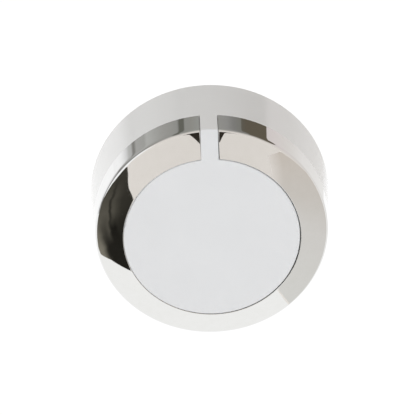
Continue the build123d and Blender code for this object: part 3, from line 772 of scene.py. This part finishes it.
OVERHEAD_START, OVERHEAD_END = 40, 280
OVERHEAD_TOP = 88

# Its lower edge as (azimuth, elevation): it comes down lowest in front on the right
OVERHEAD_LOW = [(40, 12), (100, -4), (165, -4), (190, 16), (215, 30), (280, 38)]


def overhead_place(u, v):
    azimuth = between(OVERHEAD_START, OVERHEAD_END, u)
    return azimuth, between(graded(OVERHEAD_LOW, azimuth), OVERHEAD_TOP, v)


def overhead_shade(u, v):
    azimuth = between(OVERHEAD_START, OVERHEAD_END, u)
    return stepped(OVERHEAD_TONES, azimuth + 0.4 * ripple(v, 0.7))


# Where the ceiling fades into the floor, seen only in the rounded rim of the ring
FADE_START, FADE_END = 100, 285
FADE_LOW, FADE_HIGH = -58, 45
FADE_FROM, FADE_RANGE = -42, 46  # the floor's tone up to here, and the ceiling's so far above it
LEAN_END = 150  # right of this azimuth the ceiling's edges lean to the left on the way down
LEAN = 0.13
WHITE_FROM, WHITE_RANGE = 226, 10  # the floor turns to white on the left, over these azimuths
UNDER_WHITE = (1.05, 1.05, 1.05)

# Dark band across it on the left: how strong by azimuth, its middle and half its height
BAND_DEPTH = [(205, 0.0), (222, 0.84), (236, 1.26), (285, 1.26)]
BAND_ELEVATION = -14
BAND_HALF = 13
BAND_TONE = (0.04, 0.04, 0.035)


def fade_place(u, v):
    return between(FADE_START, FADE_END, u), between(FADE_LOW, FADE_HIGH, v)


def fade_shade(u, v):
    azimuth, elevation = fade_place(u, v)
    under = mixed(FLOOR_TONE, UNDER_WHITE, (azimuth - WHITE_FROM) / WHITE_RANGE)
    lean = LEAN * (FADE_HIGH - elevation) if azimuth < LEAN_END else 0.0
    tone = mixed(under, stepped(OVERHEAD_TONES, azimuth - lean), (elevation - FADE_FROM) / FADE_RANGE)
    band = max(0.0, 1 - abs(elevation - BAND_ELEVATION) / BAND_HALF)
    return mixed(tone, BAND_TONE, graded(BAND_DEPTH, azimuth) * band)


# Dark surround of the camera, seen only in the sunken corners of the ring. Both are in degrees
# from straight down: how far it reaches to either side, and how far to the front it lies. Each
# has its value at the edge nearest to straight down and at the other edge.
LENS_SIDE = (12.5, 5)
LENS_FRONT = (18.5, 27)


def lens_place(u, v):
    reach = between(*LENS_SIDE, v)
    side = sin(radians(between(-reach, reach, u)))
    front = sin(radians(between(*LENS_FRONT, v)))
    down = sqrt(1 - side**2 - front**2)
    return degrees(atan2(side, -front)), degrees(asin(-down))


def lens_shade(u, v):
    return (0.03, 0.025, 0.02)


card("left_flag", flag_place, flag_shade, 120, 200, FRONT_CARD)
card("right_card", right_place, right_shade, 48, 100, BACK_CARD)
card("far_card", far_place, far_shade, 48, 32, BACK_CARD)
card("overhead_panel", overhead_place, overhead_shade, 440, 16, BACK_CARD, seen_by_diffuse=True)
card("horizon_fade", fade_place, fade_shade, 370, 60, MIDDLE_CARD)
card("camera_flag", lens_place, lens_shade, 8, 8, FRONT_CARD)

FLOOR_RADIUS = 9.0
FLOOR_SIDES = 96
floor_build = bmesh.new()
bmesh.ops.create_circle(floor_build, cap_ends=True, segments=FLOOR_SIDES, radius=FLOOR_RADIUS)
floor_mesh = bpy.data.meshes.new("floor")
floor_build.to_mesh(floor_mesh)
floor_build.free()
floor = bpy.data.objects.new("floor", floor_mesh)
floor.location = (0, 0, -ROOM_HEIGHT)
scene.collection.objects.link(floor)
floor_material, floor_tree, floor_shader = new_material("floor")
floor_colour = toned(floor_tree, noise(floor_tree, 3.0), (0.867, 0.824, 0.776), (0.877, 0.834, 0.786))
floor_tree.links.new(floor_colour, floor_shader.inputs["Base Color"])
floor_shader.inputs["Roughness"].default_value = 0.9
paint(floor, floor_material)

# Soft cool light from below, over the whole face, against the floor's warm tone
FILL_DEPTH = 2.08
FILL_SIZE = 1.2
FILL_WATTS = 4.1
FILL_COLOUR = (0.0, 0.45, 1.0)
fill_data = bpy.data.lights.new("fill", "AREA")
fill_data.shape = "DISK"
fill_data.size = FILL_SIZE
fill_data.energy = FILL_WATTS
fill_data.color = FILL_COLOUR
fill = bpy.data.objects.new("fill", fill_data)
fill.location = (0, 0, -FILL_DEPTH)
fill.rotation_euler = (pi, 0, 0)
fill.visible_glossy = False
fill.visible_camera = False
scene.collection.objects.link(fill)

WORLD_STRENGTH = 1.05
world = bpy.data.worlds.new("studio")
world.use_nodes = True
background = world.node_tree.nodes["Background"]
background.inputs["Color"].default_value = (1.0, 1.0, 1.0, 1.0)
background.inputs["Strength"].default_value = WORLD_STRENGTH
scene.world = world
scene.view_settings.view_transform = "Standard"


# ------------------------------------------------------------ camera

SENSOR_WIDTH = 36.0
FOCAL_LENGTH = 202.12
CAMERA_DISTANCE = 0.861
CAMERA_ELEVATION = -60.83
CAMERA_AZIMUTH = -1.3
CAMERA_ROLL = 2.92
AIM_LEFT = 1.5335 * MM  # the camera aims this far to the left of the middle of the rim
AIM_ABOVE = 9.6077 * MM

elevation = radians(CAMERA_ELEVATION)
azimuth = radians(CAMERA_AZIMUTH)
back = Vector((sin(azimuth) * cos(elevation), -cos(azimuth) * cos(elevation), sin(elevation)))
camera_place = CENTRE + CAMERA_DISTANCE * back
level_right = (-back).cross(Vector((0, 0, 1))).normalized()
level_up = level_right.cross(-back)
roll = radians(CAMERA_ROLL)
right = cos(roll) * level_right - sin(roll) * level_up
up = sin(roll) * level_right + cos(roll) * level_up
aim = CENTRE - AIM_LEFT * right + AIM_ABOVE * up
forward = (aim - camera_place).normalized()
right = (right - forward * right.dot(forward)).normalized()
up = right.cross(forward)

camera_data = bpy.data.cameras.new("camera")
camera_data.sensor_width = SENSOR_WIDTH
camera_data.lens = FOCAL_LENGTH
camera = bpy.data.objects.new("camera", camera_data)
camera.matrix_world = Matrix(
    (
        (right.x, up.x, -forward.x, camera_place.x),
        (right.y, up.y, -forward.y, camera_place.y),
        (right.z, up.z, -forward.z, camera_place.z),
        (0, 0, 0, 1),
    )
)
scene.collection.objects.link(camera)
scene.camera = camera
